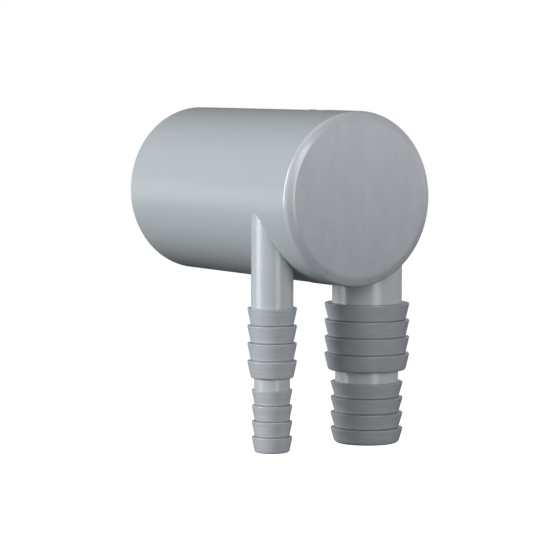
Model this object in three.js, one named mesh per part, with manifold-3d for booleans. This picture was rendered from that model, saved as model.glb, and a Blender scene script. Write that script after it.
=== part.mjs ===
// Closed pipe end with two stepped hose tails, for a 40 mm waste-pipe socket.
// Millimetres, +Z up. The origin is the centre of the spigot's open end and the pipe's axis lies
// along Y, so the closed face looks along -Y. Both hose tails hang straight down, along -Z.

import * as THREE from 'three';
import { mergeVertices } from 'three/addons/utils/BufferGeometryUtils.js';
import Module from 'manifold-3d';

const wasm = await Module();
wasm.setup();

// Pipe and cap, along the pipe's axis
const PIPE_LENGTH = 56.1;          // from the open end to the parting plane
const CAP_DEPTH = 13.55;           // from the parting plane to the cap's flat land

// Pipe and cap, across the pipe's axis
const SPIGOT_RADIUS = 19.87;       // outside of the pipe at its open end
const PIPE_DRAFT = 0.18;           // how much the pipe's radius grows towards the cap
const CAP_STEP = 0.09;             // how far the cap stands proud of the pipe
const PIPE_WALL = 1.77;            // wall of the pipe at its open end
const FACE_WALL = 2;               // thickness of the closed face
const RIM_ROUND = 1.45;            // rounded edge round the closed face
const MOUTH_ROUND = 0.4;           // broken edge round the open end

// Raised disc on the closed face
const LAND_WIDTH = 0.34;           // flat ring between the rim's rounded edge and the disc
const DISC_HEIGHT = 0.25;
const DISC_ROUND = 0.2;

// What both hose tails share
const BARBS_PER_SLEEVE = 4;
const BARB_EDGE = 0.2;             // broken edge of each barb's lip
const STUB_WALL = 1.3;             // wall of the stub that plugs each tail into the body
const STUB_RISE = 0.5;             // how far that stub stands above its bore's way into the chamber

// Each sleeve's waist and barb are steps out from the shank above it, or from the neck above it.
// Its groove is a step in from the neck.
const SMALL_TAIL = {
  name: 'small_tail',
  side: -1,
  sideInset: 0.28,                 // how far its outer side lies inside the body's side
  boreRadius: 2.5,
  shankRadius: 4.86,
  shankEnd: 25,                    // from the pipe's axis down to the first barb
  neckRadius: 4.13,
  neckLength: 2.65,
  facets: 36,
  upper: { waistStep: 0.04, barbHeight: 0.87, pitch: 4.05, grooveDepth: 0.43, endRound: 0.4 },
  lower: { waistStep: -0.13, barbHeight: 0.73, pitch: 3.64, grooveDepth: 0.83, endRound: 0.5 },
};

const LARGE_TAIL = {
  name: 'large_tail',
  side: 1,
  sideInset: 0.42,
  boreRadius: 5.4,
  shankRadius: 8.17,
  shankEnd: 25.05,
  neckRadius: 7.4,
  neckLength: 2.75,
  facets: 48,
  upper: { waistStep: 0.91, barbHeight: 0.94, pitch: 3.94, grooveDepth: 0.4, endRound: 0.5 },
  lower: { waistStep: 0.1, barbHeight: 1.06, pitch: 3.62, grooveDepth: 1, endRound: 0.8 },
};

// Clearances
const SADDLE_GAP = 0.2;            // between a tail and the body that it is set into
const SLEEVE_GAP = 0.1;            // between a sleeve and the groove that it fills

const BODY_FACETS = 72;
const ROUND_STEPS = 3;             // flats in each rounded edge

// What follows from the sizes above
const PARTING_RADIUS = SPIGOT_RADIUS + PIPE_DRAFT;
const CAP_RADIUS = PARTING_RADIUS + CAP_STEP;
const CHAMBER_RADIUS = SPIGOT_RADIUS - PIPE_WALL;
const DISC_RADIUS = CAP_RADIUS - RIM_ROUND - LAND_WIDTH;
const PARTING_Y = -PIPE_LENGTH;
const LAND_Y = PARTING_Y - CAP_DEPTH;

const BODY_GREY = 0xa5abaf;
const SLEEVE_GREY = 0x8f9498;

const bodyPlastic = () => new THREE.MeshStandardMaterial({ color: BODY_GREY, roughness: 0.35, metalness: 0 });
const sleevePlastic = () => new THREE.MeshStandardMaterial({ color: SLEEVE_GREY, roughness: 0.55, metalness: 0 });

// Points on a round between two directions, in degrees, about a centre at [radius, height].
function round(radius, height, size, from, to) {
  const points = [];
  for (let step = 0; step <= ROUND_STEPS; step += 1) {
    const angle = THREE.MathUtils.degToRad(from + ((to - from) * step) / ROUND_STEPS);
    points.push([radius + size * Math.cos(angle), height + size * Math.sin(angle)]);
  }
  return points;
}

// Solid of revolution about the Y axis, from [radius, height] points listed anticlockwise.
// A ring's profile is closed here, and a solid piece's profile starts and ends on the axis.
function revolve(profile, facets) {
  const points = profile.map(([radius, height]) => new THREE.Vector2(radius, height));
  if (profile[0][0] > 0) points.push(points[0].clone());
  return new THREE.LatheGeometry(points, facets);
}

// A closed geometry as a manifold solid, and back.
function solid(geometry) {
  const bare = geometry.clone();
  bare.deleteAttribute('normal');
  bare.deleteAttribute('uv');
  const merged = mergeVertices(bare, 1e-5);
  return new wasm.Manifold(new wasm.Mesh({
    numProp: 3,
    vertProperties: new Float32Array(merged.attributes.position.array),
    triVerts: new Uint32Array(merged.index.array),
  }));
}

function surface(manifold) {
  const mesh = manifold.getMesh();
  const geometry = new THREE.BufferGeometry();
  geometry.setAttribute('position', new THREE.BufferAttribute(new Float32Array(mesh.vertProperties), 3));
  geometry.setIndex(new THREE.BufferAttribute(new Uint32Array(mesh.triVerts), 1));
  geometry.computeVertexNormals();
  return geometry;
}

// Distance of a tail's axis from the pipe's axis: its outer side is nearly flush with the body's.
const axisReach = (tail) => CAP_RADIUS - tail.sideInset - tail.shankRadius;

// Turns a revolved shape's axis from +Y to +Z and stands it on a tail's axis.
function hang(geometry, tail) {
  return geometry.rotateX(Math.PI / 2).translate(tail.side * axisReach(tail), PARTING_Y, 0);
}

// Round bar along the pipe's axis, past both ends of the body, used to cut tails to the body.
function bodyBar(radius) {
  const reach = 2 * (PIPE_LENGTH + CAP_DEPTH);
  return solid(revolve([[0, -reach], [radius, -reach], [radius, reach], [0, reach]], BODY_FACETS));
}

const stubRadius = (tail) => tail.boreRadius + STUB_WALL;

// Height of the stub's top, just above where the far side of its bore leaves the chamber's wall.
function stubTop(tail) {
  const farSide = axisReach(tail) + tail.boreRadius;
  return STUB_RISE - Math.sqrt(Math.max(CHAMBER_RADIUS ** 2 - farSide ** 2, 0));
}

// Upright bar a gap wider than a tail's stub, which bores the stub's hole in the body wall.
function stubHole(tail) {
  const radius = stubRadius(tail) + SADDLE_GAP;
  const top = stubTop(tail) + SADDLE_GAP;
  const low = -2 * tail.shankEnd;
  return solid(hang(revolve([[0, low], [radius, low], [radius, top], [0, top]], tail.facets), tail));
}

const withStubHoles = (geometry) => surface(
  solid(geometry).subtract(stubHole(SMALL_TAIL)).subtract(stubHole(LARGE_TAIL)),
);

// Plain pipe with a slight draft towards its open end.
function spigotPipe() {
  return withStubHoles(revolve([
    [CHAMBER_RADIUS, PARTING_Y],
    [PARTING_RADIUS, PARTING_Y],
    ...round(SPIGOT_RADIUS - MOUTH_ROUND, -MOUTH_ROUND, MOUTH_ROUND, 0, 90),
    [CHAMBER_RADIUS, 0],
  ], BODY_FACETS));
}

// Cup that closes the pipe, with a rounded rim round a flat land.
function endCap() {
  return withStubHoles(revolve([
    [0, LAND_Y],
    ...round(CAP_RADIUS - RIM_ROUND, LAND_Y + RIM_ROUND, RIM_ROUND, -90, 0),
    [CAP_RADIUS, PARTING_Y],
    [CHAMBER_RADIUS, PARTING_Y],
    [CHAMBER_RADIUS, LAND_Y + FACE_WALL],
    [0, LAND_Y + FACE_WALL],
  ], BODY_FACETS));
}

// Bare disc on the cap's face, with a rounded edge.
function faceDisc() {
  const front = LAND_Y - DISC_HEIGHT;
  return revolve([
    [0, front],
    ...round(DISC_RADIUS - DISC_ROUND, front + DISC_ROUND, DISC_ROUND, -90, 0),
    [DISC_RADIUS, LAND_Y],
    [0, LAND_Y],
  ], BODY_FACETS);
}

const sleeveLength = (sleeve) => sleeve.pitch * BARBS_PER_SLEEVE;
const grooveRadius = (tail, sleeve) => tail.neckRadius - sleeve.grooveDepth;

// Heights of the tail's steps, from the top down.
function levels(tail) {
  const shankEnd = -tail.shankEnd;
  const upperEnd = shankEnd - sleeveLength(tail.upper);
  const neckEnd = upperEnd - tail.neckLength;
  const tip = neckEnd - sleeveLength(tail.lower);
  return { shankEnd, upperEnd, neckEnd, tip };
}

// Hose tail: a stub in the body wall, the shank, and a tube with a groove for each sleeve.
function tailTube(tail) {
  const { shankEnd, upperEnd, neckEnd, tip } = levels(tail);
  const { boreRadius, shankRadius, neckRadius } = tail;
  const upperGroove = grooveRadius(tail, tail.upper);
  const lowerGroove = grooveRadius(tail, tail.lower);
  const outside = solid(hang(revolve([
    [boreRadius, tip],
    [lowerGroove, tip],
    [lowerGroove, neckEnd],
    [neckRadius, neckEnd],
    [neckRadius, upperEnd],
    [upperGroove, upperEnd],
    [upperGroove, shankEnd],
    [shankRadius, shankEnd],
    [shankRadius, 0],
    [boreRadius, 0],
  ], tail.facets), tail));
  const stub = solid(hang(revolve([
    [boreRadius, shankEnd],
    [stubRadius(tail), shankEnd],
    [stubRadius(tail), stubTop(tail)],
    [boreRadius, stubTop(tail)],
  ], tail.facets), tail));
  const shank = outside.subtract(bodyBar(CAP_RADIUS + SADDLE_GAP));
  return surface(shank.add(stub.subtract(bodyBar(CHAMBER_RADIUS))));
}

// Sleeve of barbs that taper downwards. Each lip is a flat ledge that grips the hose.
function barbedSleeve(tail, sleeve, rootRadius, top) {
  const bore = grooveRadius(tail, sleeve) + SLEEVE_GAP;
  const waist = rootRadius + sleeve.waistStep;
  const lip = waist + sleeve.barbHeight;
  const end = top - sleeveLength(sleeve);
  const profile = [
    [bore, end],
    ...round(waist - sleeve.endRound, end + sleeve.endRound, sleeve.endRound, -90, 0),
  ];
  for (let barb = BARBS_PER_SLEEVE - 1; barb >= 0; barb -= 1) {
    const ledge = top - barb * sleeve.pitch;
    if (barb < BARBS_PER_SLEEVE - 1) profile.push([waist, ledge - sleeve.pitch]);
    profile.push([lip, ledge - BARB_EDGE], [lip - BARB_EDGE, ledge]);
  }
  profile.push([bore, top]);
  return hang(revolve(profile, tail.facets), tail);
}

function piece(name, geometry, material) {
  const mesh = new THREE.Mesh(geometry, material);
  mesh.name = name;
  return mesh;
}

// One hose tail: its tube, and a sleeve in each groove.
function hoseTail(tail) {
  const { shankEnd, neckEnd } = levels(tail);
  const upperSleeve = barbedSleeve(tail, tail.upper, tail.shankRadius, shankEnd);
  const lowerSleeve = barbedSleeve(tail, tail.lower, tail.neckRadius, neckEnd);
  const group = new THREE.Group();
  group.add(
    piece(`${tail.name}_tube`, tailTube(tail), bodyPlastic()),
    piece(`${tail.name}_upper_sleeve`, upperSleeve, sleevePlastic()),
    piece(`${tail.name}_lower_sleeve`, lowerSleeve, sleevePlastic()),
  );
  return group;
}

const fitting = new THREE.Group();
fitting.add(
  piece('spigot_pipe', spigotPipe(), bodyPlastic()),
  piece('end_cap', endCap(), bodyPlastic()),
  piece('face_disc', faceDisc(), bodyPlastic()),
  hoseTail(SMALL_TAIL),
  hoseTail(LARGE_TAIL),
);

export default fitting;
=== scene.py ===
"""Looks for a closed waste-pipe end with two stepped hose tails, moulded in grey polypropylene.

The frame gives each piece's place and reach. What the frame can't give, such as the radius of an
edge, is a dataclass field in millimetres. Every piece is modelled as a turner would make it: one
circle, drawn out and scaled from station to station, with its edges rounded afterwards.
"""

import logging
import math
from dataclasses import dataclass, field
from enum import Enum

import bmesh
import bpy
from mathutils import Matrix, Vector


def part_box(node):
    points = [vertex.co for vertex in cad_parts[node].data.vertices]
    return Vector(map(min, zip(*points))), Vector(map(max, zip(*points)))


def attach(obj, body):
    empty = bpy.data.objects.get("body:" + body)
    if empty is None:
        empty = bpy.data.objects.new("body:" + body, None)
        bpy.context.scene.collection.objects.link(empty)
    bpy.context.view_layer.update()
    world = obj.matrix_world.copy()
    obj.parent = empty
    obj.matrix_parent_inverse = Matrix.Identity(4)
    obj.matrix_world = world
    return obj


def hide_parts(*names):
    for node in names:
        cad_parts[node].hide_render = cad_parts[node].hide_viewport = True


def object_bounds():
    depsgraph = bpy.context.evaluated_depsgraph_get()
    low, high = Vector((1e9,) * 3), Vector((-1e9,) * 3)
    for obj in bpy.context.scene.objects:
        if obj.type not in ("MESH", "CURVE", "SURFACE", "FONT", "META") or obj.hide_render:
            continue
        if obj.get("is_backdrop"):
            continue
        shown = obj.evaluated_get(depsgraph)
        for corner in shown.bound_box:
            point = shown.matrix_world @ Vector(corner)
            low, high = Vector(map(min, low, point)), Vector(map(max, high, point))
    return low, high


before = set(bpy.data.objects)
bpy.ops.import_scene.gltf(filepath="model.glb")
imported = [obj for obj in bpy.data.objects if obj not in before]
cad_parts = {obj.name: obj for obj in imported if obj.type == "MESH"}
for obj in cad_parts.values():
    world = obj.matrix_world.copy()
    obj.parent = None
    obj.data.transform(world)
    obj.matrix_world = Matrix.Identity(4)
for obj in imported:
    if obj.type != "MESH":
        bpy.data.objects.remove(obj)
cad_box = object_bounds()

LOG = logging.getLogger("hose_connector")
MM = 0.001
BODY = "root"
SNAP = 0.004  # how near a vertex has to be to a station to belong to it, in millimetres
MERGE = 0.0005  # how near two vertices have to be to become one, in millimetres
SHANK_SINK = 0.04  # how far a tail's shank reaches into the body, in millimetres
POLYPROPYLENE_IOR = 1.49
WHITE = (1.0, 1.0, 1.0, 1.0)


class Axis(Enum):
    """Which way a turned piece's axis runs."""

    PIPE = (0.0, 1.0, 0.0)
    TAIL = (0.0, 0.0, 1.0)


class Slot(Enum):
    """The record's material slots."""

    BODY = "body_plastic"
    SLEEVE = "sleeve_plastic"


def box_mm(node: str) -> tuple[Vector, Vector]:
    """Gives a CAD node's lowest and highest corners.

    Args:
        node: The CAD node's name.

    Returns:
        The two corners, in millimetres.
    """
    low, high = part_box(node)
    return low / MM, high / MM


def linear(code: str) -> tuple[float, float, float, float]:
    """Turns an sRGB hex colour into the linear colour that a socket takes.

    Args:
        code: Six hex digits after a hash sign.

    Returns:
        Red, green, blue and an alpha of one.
    """
    parts = (int(code[at : at + 2], 16) / 255 for at in (1, 3, 5))
    red, green, blue = (
        part / 12.92 if part <= 0.04045 else ((part + 0.055) / 1.055) ** 2.4 for part in parts
    )
    return red, green, blue, 1.0


def direction(azimuth: float, elevation: float) -> Vector:
    """Gives the way from the part towards something round it.

    Args:
        azimuth: 0 is straight in front of the closed face and 90 on the right, in degrees.
        elevation: The height over the horizon, in degrees.

    Returns:
        A unit vector.
    """
    turn, lift = math.radians(azimuth), math.radians(elevation)
    level = math.cos(lift)
    return Vector((math.sin(turn) * level, -math.cos(turn) * level, math.sin(lift)))


def arc(
    centre: tuple[float, float], size: float, start: float, end: float, steps: int
) -> list[tuple[float, float]]:
    """Gives the stations of a round.

    Args:
        centre: Radius and height of the round's centre, in millimetres.
        size: The round's radius, in millimetres.
        start: Where it starts, in degrees: 0 points away from the axis and 90 along it.
        end: Where it ends.
        steps: How many flats make up the round.

    Returns:
        Radius and height of each station.
    """
    stations = []
    for step in range(steps + 1):
        angle = math.radians(start + (end - start) * step / steps)
        stations.append((centre[0] + size * math.cos(angle), centre[1] + size * math.sin(angle)))
    return stations


def deselect_all() -> None:
    """Leaves nothing selected, so that the next operator acts on its own piece alone."""
    bpy.ops.object.select_all(action="DESELECT")


def make_active(piece: bpy.types.Object) -> None:
    """Selects one object and makes it the active one.

    Args:
        piece: The object to work on.
    """
    deselect_all()
    piece.select_set(True)
    bpy.context.view_layer.objects.active = piece


def add_node(
    tree: bpy.types.NodeTree, kind: str, settings: dict | None = None, links: dict | None = None
) -> bpy.types.Node:
    """Adds a node to a tree, with its settings and what feeds it.

    Args:
        tree: The tree that takes the node.
        kind: The node's type name.
        settings: Values by property or input name.
        links: Output sockets by the name or number of the input that they feed.

    Returns:
        The new node.
    """
    node = tree.nodes.new(kind)
    for name, value in (settings or {}).items():
        if isinstance(name, str) and hasattr(node, name):
            setattr(node, name, value)
        else:
            node.inputs[name].default_value = value
    for name, socket in (links or {}).items():
        tree.links.new(socket, node.inputs[name])
    return node


@dataclass
class Turning:
    """A piece turned about one axis.

    Attributes:
        name: The finished piece's name.
        axis: Which way the axis runs.
        centre: A point on the axis, in millimetres.
        sides: How many flats the round has.
    """

    name: str
    axis: Axis
    centre: Vector
    sides: int = 192
    piece: bpy.types.Object | None = field(default=None, init=False)
    at: tuple[float, float] = field(default=(0.0, 0.0), init=False)

    @property
    def along(self) -> Vector:
        """The axis as a unit vector."""
        return Vector(self.axis.value)

    def on_axis(self, height: float) -> Vector:
        """Gives the point of the axis at a height.

        Args:
            height: The coordinate along the axis, in millimetres.

        Returns:
            The point, in metres.
        """
        across = self.centre - self.along * self.centre.dot(self.along)
        return (across + self.along * height) * MM

    def start(self, radius: float, height: float) -> None:
        """Adds the first circle and opens it for editing.

        Args:
            radius: The circle's radius, in millimetres.
            height: Its place along the axis, in millimetres.
        """
        deselect_all()
        tilt = (math.pi / 2, 0.0, 0.0) if self.axis is Axis.PIPE else (0.0, 0.0, 0.0)
        bpy.ops.mesh.primitive_circle_add(
            vertices=self.sides, radius=radius * MM, location=self.on_axis(height), rotation=tilt
        )
        self.piece = bpy.context.active_object
        self.piece.name = self.name
        bpy.ops.object.transform_apply(location=True, rotation=True, scale=True)
        bpy.ops.object.mode_set(mode="EDIT")
        bpy.ops.mesh.select_all(action="SELECT")
        self.at = (radius, height)

    def turn_to(self, radius: float, height: float) -> None:
        """Draws the open edge out to the next station.

        Args:
            radius: The radius there, in millimetres.
            height: The place along the axis, in millimetres.
        """
        move = self.along * (height - self.at[1]) * MM
        bpy.ops.mesh.extrude_region_move(TRANSFORM_OT_translate={"value": move})
        ratio = radius / self.at[0]
        scale = [1.0 if part else ratio for part in self.along]
        bpy.ops.transform.resize(value=scale, center_override=self.on_axis(height))
        self.at = (radius, height)

    def turn_through(self, stations: list[tuple[float, float]]) -> None:
        """Draws the open edge out through a list of stations.

        Args:
            stations: Radius and height of each, in millimetres.
        """
        for radius, height in stations:
            self.turn_to(radius, height)

    def close_pole(self) -> None:
        """Closes the open edge on the axis."""
        bpy.ops.mesh.extrude_region_move()
        bpy.ops.mesh.merge(type="CENTER")

    def close_other_pole(self) -> None:
        """Closes the edge that the piece was started from on the axis."""
        bpy.ops.mesh.select_all(action="DESELECT")
        bpy.ops.mesh.select_non_manifold(extend=False)
        self.close_pole()

    def close_ring(self) -> None:
        """Joins the last station to the first, which lie in one place."""
        bpy.ops.mesh.select_all(action="SELECT")
        bpy.ops.mesh.remove_doubles(threshold=SNAP * MM)

    def station_of(self, place: Vector) -> tuple[float, float]:
        """Gives the radius and height of a place.

        Args:
            place: The place, in metres.

        Returns:
            Radius and height, in millimetres.
        """
        height = place.dot(self.along) / MM
        return (place - self.on_axis(height)).length / MM, height

    def round_edge(self, radius: float, height: float, size: float, steps: int = 4) -> None:
        """Rounds the edge at a station.

        Args:
            radius: The edge's radius, in millimetres.
            height: Its place along the axis, in millimetres.
            size: The size of the round, in millimetres.
            steps: How many flats make up the round.
        """
        bpy.ops.mesh.select_all(action="DESELECT")
        mesh = bmesh.from_edit_mesh(self.piece.data)
        bpy.context.tool_settings.mesh_select_mode = (False, True, False)
        for edge in mesh.edges:
            stations = [self.station_of(vert.co) for vert in edge.verts]
            edge.select_set(
                all(abs(r - radius) < SNAP and abs(h - height) < SNAP for r, h in stations)
            )
        bmesh.update_edit_mesh(self.piece.data)
        bpy.ops.mesh.bevel(offset=size * MM, segments=steps, affect="EDGES", clamp_overlap=True)

    def finish(self) -> bpy.types.Object:
        """Makes the faces look outwards and leaves edit mode.

        Returns:
            The piece.
        """
        bpy.ops.mesh.select_all(action="SELECT")
        bpy.ops.mesh.remove_doubles(threshold=MERGE * MM)
        bpy.ops.mesh.normals_make_consistent(inside=False)
        bpy.ops.object.mode_set(mode="OBJECT")
        return self.piece


def apply_boolean(piece: bpy.types.Object, tool: bpy.types.Object, operation: str) -> None:
    """Cuts a piece with a tool body or joins the tool to it, and deletes the tool.

    Args:
        piece: The piece that stays.
        tool: The body that is used up.
        operation: DIFFERENCE or UNION.
    """
    make_active(piece)
    cut = piece.modifiers.new("cut", "BOOLEAN")
    cut.operation = operation
    cut.solver = "EXACT"
    cut.object = tool
    bpy.ops.object.modifier_apply(modifier=cut.name)
    bpy.data.objects.remove(tool, do_unlink=True)


def smooth(piece: bpy.types.Object, crisp_angle: float = 32.0, face_weight: int = 80) -> None:
    """Shades the rounds smooth, keeps the flats flat and the crisp edges crisp.

    Args:
        piece: The piece to shade.
        crisp_angle: The angle past which an edge stays crisp, in degrees.
        face_weight: How much more a wide face bends the shading than a narrow one.
    """
    make_active(piece)
    bpy.ops.object.shade_smooth_by_angle(angle=math.radians(crisp_angle))
    weighted = piece.modifiers.new("weighted", "WEIGHTED_NORMAL")
    weighted.keep_sharp = True
    weighted.weight = face_weight
    bpy.ops.object.modifier_apply(modifier=weighted.name)


def seat(piece: bpy.types.Object, material: bpy.types.Material, replaced: str) -> None:
    """Dresses a finished piece and puts it in its CAD node's place.

    Args:
        piece: The finished piece.
        material: Its finish.
        replaced: The CAD node that it stands for.
    """
    piece.data.materials.clear()
    piece.data.materials.append(material)
    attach(piece, BODY)
    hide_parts(replaced)
    LOG.info("%s stands for %s, %d faces", piece.name, replaced, len(piece.data.polygons))


def start_tree(name: str) -> tuple[bpy.types.Material, bpy.types.NodeTree]:
    """Adds a material whose node tree is empty.

    Args:
        name: The material's name.

    Returns:
        The material and its tree.
    """
    made = bpy.data.materials.new(name)
    made.use_nodes = True
    made.node_tree.nodes.clear()
    return made, made.node_tree


@dataclass(frozen=True)
class Polypropylene:
    """What every polypropylene finish has: two shades, a polish and an uneven skin.

    Attributes:
        name: The material's name.
        light: Its lighter shade.
        dark: Its darker shade.
        roughness: Least and greatest roughness.
    """

    name: str
    light: str
    dark: str
    roughness: tuple[float, float]

    def close_tree(
        self,
        tree: bpy.types.NodeTree,
        shade: bpy.types.NodeSocket,
        wear: bpy.types.NodeSocket,
        skin: bpy.types.NodeSocket,
    ) -> None:
        """Adds the plastic itself: its colour, its polish and its unevenness.

        Args:
            tree: The material's tree.
            shade: Where between the two shades each spot lies.
            wear: Where between the two roughnesses it lies.
            skin: The normal of the uneven skin.
        """
        colour = add_node(
            tree,
            "ShaderNodeMix",
            {"data_type": "RGBA", 6: linear(self.dark), 7: linear(self.light)},
            {0: shade},
        )
        polish = add_node(
            tree,
            "ShaderNodeMix",
            {"data_type": "FLOAT", 2: self.roughness[0], 3: self.roughness[1]},
            {0: wear},
        )
        shader = add_node(
            tree,
            "ShaderNodeBsdfPrincipled",
            {"IOR": POLYPROPYLENE_IOR},
            {"Base Color": colour.outputs[2], "Roughness": polish.outputs[0], "Normal": skin},
        )
        add_node(tree, "ShaderNodeOutputMaterial", links={"Surface": shader.outputs["BSDF"]})


@dataclass(frozen=True)
class GlossPolypropylene(Polypropylene):
    """Polypropylene moulded in polished steel: a clear sheen over slow waves and faint clouds.

    Attributes:
        cloud: Size of the clouds in the melt along X, Y and Z, in millimetres.
        mottle: Strength of the clouds, where 1 uses the whole step between the two shades.
        painted_top_light: Painted light: how far up that step the foot and the head are moved.
        reach: The heights of that foot and head, in millimetres.
        ripple: Length of the sink waves that bend a reflection, in millimetres.
        ripple_depth: Their depth, in millimetres.
        grain: Size of the finest unevenness, in millimetres.
        grain_depth: Its depth, in millimetres.
    """

    cloud: tuple[float, float, float]
    mottle: float = 1.0
    painted_top_light: tuple[float, float] = (0.0, 0.0)
    reach: tuple[float, float] = (-16.0, 19.0)
    ripple: float = 7.0
    ripple_depth: float = 0.008
    grain: float = 0.8
    grain_depth: float = 0.0015

    def material(self) -> bpy.types.Material:
        """Builds the material.

        Returns:
            The node material.
        """
        made, tree = start_tree(self.name)
        place = add_node(tree, "ShaderNodeTexCoord").outputs["Object"]
        # Melt that cooled unevenly leaves faint clouds, which keep a wide surface from looking
        # like paint.
        flow = add_node(
            tree,
            "ShaderNodeMapping",
            {"Scale": [1 / (size * MM) for size in self.cloud]},
            {"Vector": place},
        )
        clouds = add_node(
            tree,
            "ShaderNodeTexNoise",
            {"Scale": 1.0, "Detail": 4.0, "Roughness": 0.6},
            {"Vector": flow.outputs["Vector"]},
        )
        # Painted light: the piece is painted paler towards its head, as if a bright sky lit it.
        height = add_node(tree, "ShaderNodeSeparateXYZ", links={"Vector": place}).outputs["Z"]
        painted_top_light = add_node(
            tree,
            "ShaderNodeMapRange",
            {
                "From Min": self.reach[0] * MM,
                "From Max": self.reach[1] * MM,
                "To Min": self.painted_top_light[0],
                "To Max": self.painted_top_light[1],
            },
            {"Value": height},
        )
        shade = add_node(
            tree,
            "ShaderNodeMath",
            {"operation": "MULTIPLY_ADD", 1: self.mottle},
            {0: clouds.outputs["Fac"], 2: painted_top_light.outputs["Result"]},
        )
        # Sink over the walls bends a reflection slowly, so that no highlight is ruled straight.
        waves = add_node(
            tree,
            "ShaderNodeTexNoise",
            {"Scale": 1 / (self.ripple * MM), "Detail": 1.0},
            {"Vector": place},
        )
        sunk = add_node(
            tree,
            "ShaderNodeBump",
            {"Strength": 1.0, "Distance": self.ripple_depth * MM},
            {"Height": waves.outputs["Fac"]},
        )
        # A polished cavity's own grain is some hundredths of a millimetre. It is drawn coarser,
        # as it wouldn't show otherwise.
        pores = add_node(
            tree,
            "ShaderNodeTexNoise",
            {"Scale": 1 / (self.grain * MM), "Detail": 4.0},
            {"Vector": place},
        )
        skin = add_node(
            tree,
            "ShaderNodeBump",
            {"Strength": 1.0, "Distance": self.grain_depth * MM},
            {"Height": pores.outputs["Fac"], "Normal": sunk.outputs["Normal"]},
        )
        self.close_tree(
            tree, shade.outputs["Value"], clouds.outputs["Fac"], skin.outputs["Normal"]
        )
        return made


@dataclass(frozen=True)
class SatinPolypropylene(Polypropylene):
    """Polypropylene moulded in a turned cavity: satin, with fine rings from the turning tool.

    Attributes:
        ring: Spacing of the rings, in millimetres.
        ring_depth: Their depth, in millimetres.
        streak: Length of a ring before it fades, in millimetres.
    """

    ring: float = 0.45
    ring_depth: float = 0.006
    streak: float = 7.0

    def material(self) -> bpy.types.Material:
        """Builds the material.

        Returns:
            The node material.
        """
        made, tree = start_tree(self.name)
        place = add_node(tree, "ShaderNodeTexCoord").outputs["Object"]
        # The turning tool's rings are about a tenth of a millimetre apart. They are drawn some
        # four times as coarse, so that they show as faint lines round each barb.
        stretch = add_node(
            tree,
            "ShaderNodeMapping",
            {"Scale": [1 / (size * MM) for size in (self.streak, self.streak, self.ring)]},
            {"Vector": place},
        )
        rings = add_node(
            tree,
            "ShaderNodeTexNoise",
            {"Scale": 1.0, "Detail": 2.0, "Roughness": 0.6},
            {"Vector": stretch.outputs["Vector"]},
        )
        skin = add_node(
            tree,
            "ShaderNodeBump",
            {"Strength": 1.0, "Distance": self.ring_depth * MM},
            {"Height": rings.outputs["Fac"]},
        )
        grain = rings.outputs["Fac"]
        self.close_tree(tree, grain, grain, skin.outputs["Normal"])
        return made


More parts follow.
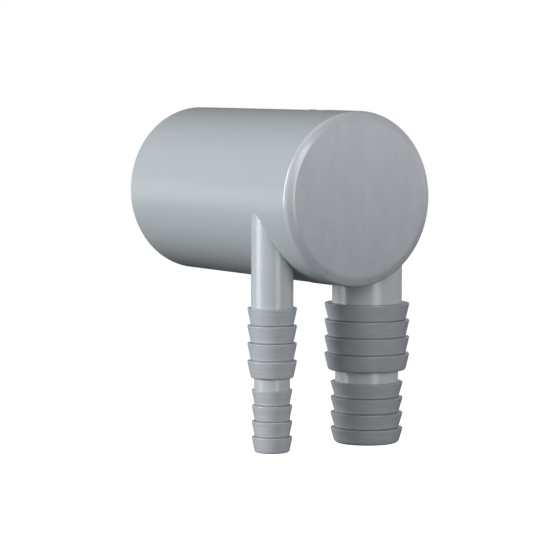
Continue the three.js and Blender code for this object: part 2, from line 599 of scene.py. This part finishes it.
@dataclass
class HoseTail:
    """One stepped hose tail: its tube, and a barbed sleeve in each of the tube's two grooves.

    Attributes:
        name: The start of its pieces' names.
        bore: Radius of the bore.
        neck: Radius of the plain neck between the sleeves.
        waists: Radius of each sleeve between its barbs, the upper sleeve first.
        grooves: Radius of the groove under each sleeve, the upper sleeve first.
        ends: Size of the round at each sleeve's lower end, the upper sleeve first.
        lip_round: Size of the round on each barb's lip.
        undercut: How deep the corner over each ledge is cut in, and how high the cut is.
        mouth_round: Size of the round at the bore's lower end.
        barbs: How many barbs a sleeve has.
        sides: How many flats a round has.
    """

    name: str
    bore: float
    neck: float
    waists: tuple[float, float]
    grooves: tuple[float, float]
    ends: tuple[float, float]
    lip_round: float = 0.24
    undercut: tuple[float, float] = (0.3, 0.28)
    mouth_round: float = 0.3
    barbs: int = 4
    sides: int = 128

    @property
    def tube_node(self) -> str:
        """The name of the tube's CAD node."""
        return f"{self.name}_tube"

    def sleeve_nodes(self) -> tuple[str, str]:
        """Gives the names of the two sleeves' CAD nodes, the upper sleeve first."""
        return f"{self.name}_upper_sleeve", f"{self.name}_lower_sleeve"

    def centre(self) -> Vector:
        """Gives a point on the tail's axis, in millimetres."""
        low, high = box_mm(self.sleeve_nodes()[0])
        return (low + high) / 2

    def shank(self) -> float:
        """Gives the radius of the plain shank over the sleeves, in millimetres."""
        low, high = box_mm(self.tube_node)
        return (high.x - low.x) / 2

    def body_cutter(self, radius: float) -> bpy.types.Object:
        """Makes a bar along the pipe's axis that stands for the body's outside.

        Args:
            radius: The bar's radius, in millimetres.

        Returns:
            The bar.
        """
        low, high = cad_box[0].y / MM, cad_box[1].y / MM
        bar = Turning("body_cutter", Axis.PIPE, Vector((0, 0, 0)))
        bar.start(radius, low - radius)
        bar.turn_to(radius, high + radius)
        bar.close_pole()
        bar.close_other_pole()
        return bar.finish()

    def bore_cutter(self) -> bpy.types.Object:
        """Makes an upright bar that opens the bore's way through the body wall.

        Returns:
            The bar.
        """
        top_of_sleeve = box_mm(self.sleeve_nodes()[0])[1].z
        bar = Turning("bore_cutter", Axis.TAIL, self.centre(), self.sides)
        bar.start(self.bore, top_of_sleeve)
        bar.turn_to(self.bore, 0.0)
        bar.close_pole()
        bar.close_other_pole()
        return bar.finish()

    def build_tube(self, body_radius: float) -> bpy.types.Object:
        """Turns the tube and fits its top to the body's round side.

        Args:
            body_radius: Radius of the body where the tube meets it, in millimetres.

        Returns:
            The tube.
        """
        upper, lower = (box_mm(node) for node in self.sleeve_nodes())
        shank = self.shank()
        tube = Turning(self.name + "_moulding", Axis.TAIL, self.centre(), self.sides)
        tube.start(self.bore, lower[0].z)
        tube.turn_through(
            [
                (self.grooves[1], lower[0].z),
                (self.grooves[1], lower[1].z),
                (self.neck, lower[1].z),
                (self.neck, upper[0].z),
                (self.grooves[0], upper[0].z),
                (self.grooves[0], upper[1].z),
                (shank, upper[1].z),
                (shank, 0.0),
                (self.bore, 0.0),
                (self.bore, lower[0].z),
            ]
        )
        tube.close_ring()
        tube.round_edge(self.bore, lower[0].z, self.mouth_round)
        piece = tube.finish()
        apply_boolean(piece, self.body_cutter(body_radius), "DIFFERENCE")
        return piece

    def build_sleeve(self, which: int) -> bpy.types.Object:
        """Turns one sleeve: a flat ledge over each cone, with the cones narrowing downwards.

        Args:
            which: 0 for the upper sleeve, 1 for the lower.

        Returns:
            The sleeve.
        """
        node = self.sleeve_nodes()[which]
        low, high = box_mm(node)
        lip = (high.x - low.x) / 2
        pitch = (high.z - low.z) / self.barbs
        waist, groove = self.waists[which], self.grooves[which]
        ledges = [high.z - barb * pitch for barb in range(self.barbs)]
        sleeve = Turning(node.replace("sleeve", "barbs"), Axis.TAIL, self.centre(), self.sides)
        sleeve.start(groove, high.z)
        cut_depth, cut_height = self.undercut
        for ledge in ledges:
            sleeve.turn_to(lip, ledge)
            if ledge == ledges[-1]:
                sleeve.turn_to(waist, ledge - pitch)
            else:
                foot = waist + (lip - waist) * cut_height / pitch
                sleeve.turn_to(foot, ledge - pitch + cut_height)
                sleeve.turn_to(waist - cut_depth, ledge - pitch)
        sleeve.turn_to(groove, low.z)
        sleeve.turn_to(groove, high.z)
        sleeve.close_ring()
        for ledge in ledges:
            sleeve.round_edge(lip, ledge, self.lip_round)
        sleeve.round_edge(waist, low.z, self.ends[which], steps=5)
        return sleeve.finish()

    def build(
        self, body_radius: float, gloss: bpy.types.Material, satin: bpy.types.Material
    ) -> None:
        """Builds and dresses the tail's pieces.

        Args:
            body_radius: Radius of the body where the tube meets it, in millimetres.
            gloss: The tube's finish.
            satin: The sleeves' finish.
        """
        tube = self.build_tube(body_radius)
        smooth(tube)
        seat(tube, gloss, self.tube_node)
        for which, node in enumerate(self.sleeve_nodes()):
            sleeve = self.build_sleeve(which)
            smooth(sleeve)
            seat(sleeve, satin, node)


@dataclass
class PipeEnd:
    """The pipe, the cap that closes it and the disc on the cap's face.

    Attributes:
        mouth: Radius of the pipe at its open end.
        chamber: Radius of the chamber inside.
        face_wall: Thickness of the closed face.
        flat: Radius of the disc's flat face.
        crown_round: Size of the round at the edge of the flat face, which runs on into the cap.
        fall: How steep the face falls away between that round and the cap's rim, in degrees.
        rim_round: Size of the round on the cap's rim.
        mouth_round: Size of the round at the open end.
        seam_round: Size of the round on each side of the seam between the cap and the pipe.
        corner_round: Size of the round in the chamber's closed corner.
        tail_zone: How far behind the seam the pipe has a station of its own.
        front_lean: Lean of the faces on the cap that belong to its front, from 0 to 1.
        pole: Radius of the smallest circle round a closed centre.
        gate: Where the stub of the gate stands on the pipe, across and along.
        gate_radius: Radius of that stub.
        gate_height: How far the stub stands out of the pipe.
        gate_root: How long the stub is, most of it inside the wall.
        gate_round: Size of the round on its edge.
        crown_steps: How many flats make up the crown's round.
        rim_steps: How many flats make up the rim's round.
    """

    mouth: float = 19.87
    chamber: float = 18.1
    face_wall: float = 2.0
    flat: float = 17.55
    crown_round: float = 2.2
    fall: float = 28.0
    rim_round: float = 1.35
    mouth_round: float = 0.4
    seam_round: float = 0.05
    corner_round: float = 1.2
    tail_zone: float = 14.0
    front_lean: float = 0.35
    pole: float = 2.0
    gate: tuple[float, float] = (-0.3, -49.8)
    gate_radius: float = 1.35
    gate_height: float = 0.2
    gate_root: float = 1.0
    gate_round: float = 0.06
    crown_steps: int = 6
    rim_steps: int = 10

    def centre(self) -> Vector:
        """Gives a point on the pipe's axis, in millimetres."""
        low, high = box_mm("spigot_pipe")
        return (low + high) / 2

    def seam(self) -> float:
        """Gives the place of the seam between the cap and the pipe along the axis."""
        return box_mm("spigot_pipe")[0].y

    def pipe_radius(self, height: float) -> float:
        """Gives the pipe's outer radius at a place along its slight draft.

        Args:
            height: The place along the axis, in millimetres.

        Returns:
            The radius, in millimetres.
        """
        widest = box_mm("spigot_pipe")[1].x
        return self.mouth + (widest - self.mouth) * height / self.seam()

    def disc_radius(self) -> float:
        """Gives the radius of the disc's outer edge, in millimetres."""
        return box_mm("face_disc")[1].x

    def crown(self, start: float, end: float) -> list[tuple[float, float]]:
        """Gives the stations of the round between the flat face and the face's fall.

        Args:
            start: How steep it is where the stations start, in degrees.
            end: How steep it is where they end, in degrees.

        Returns:
            Radius and height of each station, in millimetres.
        """
        height = box_mm("face_disc")[0].y + self.crown_round
        span = start - 90.0, end - 90.0
        return arc((self.flat, height), self.crown_round, *span, self.crown_steps)

    def disc_tilt(self) -> float:
        """Gives how steep the round is at the disc's outer edge, in degrees."""
        return math.degrees(math.asin((self.disc_radius() - self.flat) / self.crown_round))

    def disc_edge(self) -> list[tuple[float, float]]:
        """Gives the stations of the disc's edge, from its flat face out to the cap."""
        return self.crown(0.0, self.disc_tilt())

    def rim(self) -> list[tuple[float, float]]:
        """Gives the stations of the cap's face, from its side round the rim to the disc."""
        side = box_mm("end_cap")[1].x
        crown = self.crown(self.fall, self.disc_tilt())
        tilt = math.radians(self.fall)
        start = side - self.rim_round * (1 - math.sin(tilt))
        drop = crown[0][1] + (start - crown[0][0]) * math.tan(tilt)
        centre = (side - self.rim_round, drop + self.rim_round * math.cos(tilt))
        return arc(centre, self.rim_round, 0.0, self.fall - 90.0, self.rim_steps) + crown

    def build_gate(self) -> bpy.types.Object:
        """Makes the stub that the cut gate leaves on top of the pipe.

        Returns:
            The stub, for joining to the pipe.
        """
        across, along = self.gate
        surface = math.sqrt(self.pipe_radius(along) ** 2 - across**2)
        top = min(surface + self.gate_height, cad_box[1].z / MM)
        stub = Turning("gate_stub", Axis.TAIL, Vector((across, along, top)), sides=48)
        stub.start(self.gate_radius, top - self.gate_root)
        stub.turn_to(self.gate_radius, top - self.gate_round)
        stub.turn_to(self.gate_radius - self.gate_round, top)
        stub.close_pole()
        stub.close_other_pole()
        return stub.finish()

    def build_pipe(self, tails: list[HoseTail]) -> bpy.types.Object:
        """Turns the pipe, opens the tails' bores in its wall and adds the gate's stub.

        Args:
            tails: The hose tails.

        Returns:
            The pipe.
        """
        seam = self.seam()
        near_tails = seam + self.tail_zone
        pipe = Turning("pipe_wall", Axis.PIPE, self.centre())
        pipe.start(self.mouth, 0.0)
        pipe.turn_through(
            [
                (self.pipe_radius(near_tails), near_tails),
                (self.pipe_radius(seam), seam),
                (self.chamber, seam),
                (self.chamber, near_tails),
                (self.chamber, 0.0),
                (self.mouth, 0.0),
            ]
        )
        pipe.close_ring()
        pipe.round_edge(self.mouth, 0.0, self.mouth_round)
        pipe.round_edge(self.chamber, 0.0, self.mouth_round)
        pipe.round_edge(self.pipe_radius(seam), seam, self.seam_round, steps=2)
        piece = pipe.finish()
        for tail in tails:
            apply_boolean(piece, tail.bore_cutter(), "DIFFERENCE")
        apply_boolean(piece, self.build_gate(), "UNION")
        return piece

    def build_cap(self, tails: list[HoseTail]) -> bpy.types.Object:
        """Turns the cup that closes the pipe and opens the tails' bores in its wall.

        Args:
            tails: The hose tails.

        Returns:
            The cap.
        """
        low, high = box_mm("end_cap")
        floor = low.y + self.face_wall
        cap = Turning("cap_moulding", Axis.PIPE, self.centre())
        cap.start(self.pole, floor)
        cap.turn_through([(self.chamber, floor), (self.chamber, high.y), (high.x, high.y)])
        cap.turn_through(self.rim())
        cap.turn_through([(self.chamber, low.y), (self.pole, low.y)])
        cap.close_pole()
        cap.close_other_pole()
        cap.round_edge(self.chamber, floor, self.corner_round)
        cap.round_edge(high.x, high.y, self.seam_round, steps=2)
        piece = cap.finish()
        for tail in tails:
            apply_boolean(piece, tail.bore_cutter(), "DIFFERENCE")
        return piece

    def build_disc(self) -> bpy.types.Object:
        """Turns the raised disc.

        Returns:
            The disc.
        """
        back = box_mm("face_disc")[1].y
        disc = Turning("raised_disc", Axis.PIPE, self.centre())
        disc.start(self.pole, back)
        disc.turn_to(self.chamber, back)
        disc.turn_through(self.disc_edge()[::-1])
        disc.turn_to(self.pole, disc.at[1])
        disc.close_pole()
        disc.close_other_pole()
        return disc.finish()

    def build(
        self,
        tails: list[HoseTail],
        gloss: bpy.types.Material,
        face: bpy.types.Material,
    ) -> None:
        """Builds and dresses the pipe, the cap and the disc.

        Args:
            tails: The hose tails, whose bores go through the wall.
            gloss: The finish of the pipe and the cap's side.
            face: The finish of the closed face.
        """
        for piece, node, finish in (
            (self.build_pipe(tails), "spigot_pipe", gloss),
            (self.build_cap(tails), "end_cap", gloss),
            (self.build_disc(), "face_disc", face),
        ):
            smooth(piece)
            seat(piece, finish, node)
            if node == "end_cap":
                self.dress_front(piece, face)

    def dress_front(self, cap: bpy.types.Object, face: bpy.types.Material) -> None:
        """Gives the cap's front the disc's finish, which it runs into, with its painted top light.

        Args:
            cap: The dressed cap.
            face: The finish of the closed face.
        """
        cap.data.materials.append(face)
        middle = (self.seam() + box_mm("end_cap")[0].y) / 2
        for polygon in cap.data.polygons:
            leans = -polygon.normal.y > self.front_lean
            polygon.material_index = int(leans and polygon.center.y / MM < middle)


@dataclass
class Viewpoint:
    """The camera.

    Attributes:
        azimuth: Turn from a view along +Y, in degrees.
        elevation: Height over the horizon, in degrees.
        roll: Turn about the line of sight, in degrees.
        reference: Place of the reference point along the pipe's axis, in millimetres.
        distance: Distance from the aim point, in millimetres.
        aim_right: The aim point's offset to the right of the reference point, in millimetres.
        aim_up: Its offset upwards, in millimetres.
        lens: Focal length, in millimetres.
        sensor: Width of the sensor, in millimetres.
        reach: The nearest and farthest that it sees, in metres.
    """

    azimuth: float = -33.35
    elevation: float = 4.57
    roll: float = 0.12
    reference: float = -69.1
    distance: float = 634.6
    aim_right: float = -17.952
    aim_up: float = -18.362
    lens: float = 179.11
    sensor: float = 36.0
    reach: tuple[float, float] = (0.01, 20.0)

    def build(self) -> None:
        """Makes the camera and gives it to the scene."""
        reference = Vector((0.0, self.reference, 0.0))
        turn, roll = math.radians(self.azimuth), math.radians(self.roll)
        back = direction(self.azimuth, self.elevation)
        level = Vector((math.cos(turn), math.sin(turn), 0.0))
        rise = back.cross(level)
        right = level * math.cos(roll) + rise * math.sin(roll)
        up = rise * math.cos(roll) - level * math.sin(roll)
        eye = reference + right * self.aim_right + up * self.aim_up + back * self.distance
        camera = bpy.data.objects.new("camera", bpy.data.cameras.new("camera"))
        camera.data.lens = self.lens
        camera.data.sensor_width = self.sensor
        camera.data.clip_start, camera.data.clip_end = self.reach
        turned = Matrix((right, up, back)).transposed().to_4x4()
        camera.matrix_world = Matrix.Translation(eye * MM) @ turned
        bpy.context.scene.collection.objects.link(camera)
        bpy.context.scene.camera = camera


@dataclass
class Softbox:
    """One soft panel of the studio, aimed at the part.

    Attributes:
        name: The lamp's name.
        azimuth: Where it stands: 0 is in front of the closed face and 90 on the right, in degrees.
        elevation: Its height over the horizon, in degrees.
        spread: How wide and how high it looks from the part, in degrees.
        strength: Its radiance, where 1 is the white of the surroundings.
        distance: Distance from the part, in metres.
    """

    name: str
    azimuth: float
    elevation: float
    spread: tuple[float, float]
    strength: float
    distance: float = 1.2

    def build(self, target: Vector) -> None:
        """Hangs the lamp.

        Args:
            target: The point that it is aimed at, in metres.
        """
        towards = direction(self.azimuth, self.elevation)
        width, height = (2 * self.distance * math.tan(math.radians(a) / 2) for a in self.spread)
        lamp = bpy.data.objects.new(self.name, bpy.data.lights.new(self.name, "AREA"))
        lamp.data.shape = "RECTANGLE"
        lamp.data.size = width
        lamp.data.size_y = height
        lamp.data.energy = self.strength * math.pi * width * height
        lamp.location = target + towards * self.distance
        lamp.rotation_euler = towards.to_track_quat("Z", "Y").to_euler()
        bpy.context.scene.collection.objects.link(lamp)


@dataclass
class Studio:
    """The floor, the white surroundings and the lamps.

    Attributes:
        floor_drop: How far the floor lies under the tails' tips, in millimetres.
        floor_size: The floor's side, in metres.
        floor_paint: The floor's colour as the camera sees it.
        floor_shade: Its colour for the light that it throws back at the part.
        floor_glow: How white the floor is near the part and far from it, before a lamp reaches it.
        glow_reach: How far from the part the floor becomes wholly white, in metres.
        sheen: How white the surroundings are to the part's gloss.
        floor_sheen: How white the floor is to it.
        ambient: Strength of the light from all round.
        boxes: The soft panels.
    """

    floor_drop: float = 170.0
    floor_size: float = 8.0
    floor_paint: str = "#d9dbdc"
    floor_shade: str = "#202122"
    floor_glow: tuple[float, float] = (0.8, 1.0)
    glow_reach: float = 0.5
    sheen: float = 0.27
    floor_sheen: float = 0.05
    ambient: float = 0.01
    boxes: list[Softbox] = field(
        default_factory=lambda: [
            Softbox("rim_left", -156.0, -2.0, (30.0, 14.0), 0.9),
            Softbox("key_left", -104.0, 16.5, (20.0, 33.0), 16.1),
            Softbox("side_low", -116.0, -1.5, (21.0, 8.0), 11.6),
            Softbox("fill_low", -1.5, -2.0, (20.0, 11.0), 8.8),
            Softbox("front_strip", -9.5, 19.0, (12.0, 30.0), 11.6),
            Softbox("fill_right", 52.0, 4.0, (60.0, 18.0), 0.9),
            Softbox("fill_back", 102.0, 2.0, (84.0, 36.0), 0.45),
        ]
    )

    def build(self) -> None:
        """Makes the floor, the world and the lamps."""
        low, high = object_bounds()
        floor_height = low.z - self.floor_drop * MM
        middle = (low + high) / 2
        self.build_floor(floor_height)
        self.build_world()
        for box in self.boxes:
            box.build(middle)

    def build_floor(self, height: float) -> None:
        """Lays the floor.

        Args:
            height: Its height, in metres.
        """
        deselect_all()
        bpy.ops.mesh.primitive_plane_add(size=self.floor_size, location=(0.0, 0.0, height))
        floor = bpy.context.active_object
        floor.name = "studio_floor"
        bpy.ops.object.transform_apply(location=True)
        # Painted board: matt and even, so that nothing of it catches the eye.
        made, tree = start_tree("white painted floor")
        seen = self.background(tree, self.floor_sheen)
        tone = add_node(
            tree,
            "ShaderNodeMix",
            {"data_type": "RGBA", 6: linear(self.floor_shade), 7: linear(self.floor_paint)},
            {0: seen},
        )
        paint = add_node(tree, "ShaderNodeBsdfDiffuse", links={"Color": tone.outputs[2]})
        place = add_node(tree, "ShaderNodeTexCoord").outputs["Object"]
        span = add_node(tree, "ShaderNodeVectorMath", {"operation": "LENGTH"}, {0: place})
        rise = add_node(
            tree,
            "ShaderNodeMapRange",
            {
                "From Min": abs(height),
                "From Max": self.glow_reach,
                "To Min": self.floor_glow[0],
                "To Max": self.floor_glow[1],
            },
            {"Value": span.outputs["Value"]},
        )
        level = add_node(
            tree,
            "ShaderNodeMath",
            {"operation": "MULTIPLY"},
            {0: seen, 1: rise.outputs["Result"]},
        )
        glow = add_node(
            tree, "ShaderNodeEmission", {"Color": WHITE}, {"Strength": level.outputs["Value"]}
        )
        both = add_node(
            tree,
            "ShaderNodeAddShader",
            links={0: paint.outputs["BSDF"], 1: glow.outputs["Emission"]},
        )
        add_node(tree, "ShaderNodeOutputMaterial", links={"Surface": both.outputs["Shader"]})
        floor.data.materials.append(made)
        floor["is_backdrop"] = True

    def build_world(self) -> None:
        """Makes surroundings that are white to the eye and dim to the part."""
        world = bpy.data.worlds.new("studio")
        world.use_nodes = True
        tree = world.node_tree
        tree.nodes.clear()
        level = add_node(
            tree,
            "ShaderNodeMath",
            {"operation": "MAXIMUM", 1: self.ambient},
            {0: self.background(tree, self.sheen)},
        )
        light = add_node(
            tree, "ShaderNodeBackground", {"Color": WHITE}, {"Strength": level.outputs["Value"]}
        )
        add_node(tree, "ShaderNodeOutputWorld", links={"Surface": light.outputs["Background"]})
        bpy.context.scene.world = world

    def background(self, tree: bpy.types.NodeTree, sheen: float) -> bpy.types.NodeSocket:
        """Tells how white the background is to each ray.

        Straight and through clear matter it is white. A sheen sees less of it, as it would with
        dark cards round the part taking most of it away.

        Args:
            tree: The tree that takes the nodes.
            sheen: How white it is to the part's gloss.

        Returns:
            A socket with the strength, which is 0 for the rays that light the part.
        """
        ray = add_node(tree, "ShaderNodeLightPath")
        level = add_node(
            tree,
            "ShaderNodeMath",
            {"operation": "MULTIPLY", 1: sheen},
            {0: ray.outputs["Is Glossy Ray"]},
        ).outputs["Value"]
        for kind in ("Is Camera Ray", "Is Transmission Ray"):
            level = add_node(
                tree, "ShaderNodeMath", {"operation": "MAXIMUM"}, {0: level, 1: ray.outputs[kind]}
            ).outputs["Value"]
        return level


def main() -> None:
    """Builds the part's pieces, then the studio around them."""
    logging.basicConfig(level=logging.INFO, format="%(name)s: %(message)s")
    bpy.context.scene.view_settings.view_transform = "Standard"
    Viewpoint().build()
    # Injection-moulded polypropylene out of a polished cavity: a cool light grey with one broad
    # soft sheen along the pipe and clouds too long to notice.
    gloss = GlossPolypropylene(
        "moulded polypropylene, body", "#a9b3b6", "#a7acb1", (0.22, 0.28), (9.0, 30.0, 9.0)
    ).material()
    # The same plastic where it filled the closed face: narrow upright clouds, and painted light
    # that makes the face paler at its head.
    face = GlossPolypropylene(
        "moulded polypropylene, disc face",
        "#c6cad0",
        "#a1a5ab",
        (0.2, 0.28),
        (2.4, 4.0, 8.0),
        mottle=0.5,
        painted_top_light=(-0.09, 0.65),
    ).material()
    # The same plastic on the tails: clouds drawn out along the flow, and a soft sheen on each
    # side of the shank.
    sheen = GlossPolypropylene(
        "moulded polypropylene, tails", "#adb4b8", "#a8aeb3", (0.27, 0.33), (4.0, 4.0, 20.0)
    ).material()
    # The same plastic out of a turned cavity: satin, darker than the tubes, with faint rings. The
    # small sleeves are painted paler, as painted light where the key lamp falls on them.
    lit_satin = SatinPolypropylene(
        "moulded polypropylene, small sleeves", "#b8bdc2", "#999ea3", (0.26, 0.34)
    ).material()
    # Painted shade from the small tail darkens the large sleeves: the darkest of the five
    # finishes.
    satin = SatinPolypropylene(
        "moulded polypropylene, large sleeves", "#a9aeb3", "#8c9196", (0.28, 0.36)
    ).material()
    small = HoseTail(
        "small_tail",
        bore=2.5,
        neck=4.13,
        waists=(4.9, 4.0),
        grooves=(3.7, 3.3),
        ends=(0.4, 0.5),
        sides=96,
    )
    large = HoseTail(
        "large_tail",
        bore=5.4,
        neck=7.4,
        waists=(9.08, 7.5),
        grooves=(7.0, 6.4),
        ends=(0.5, 0.8),
    )
    tails = [small, large]
    pipe_end = PipeEnd()
    pipe_end.build(tails, gloss, face)
    for tail, sleeve in zip(tails, (lit_satin, satin)):
        tail.build(box_mm("end_cap")[1].x - SHANK_SINK, sheen, sleeve)
    Studio().build()


if __name__ == "__main__":
    main()
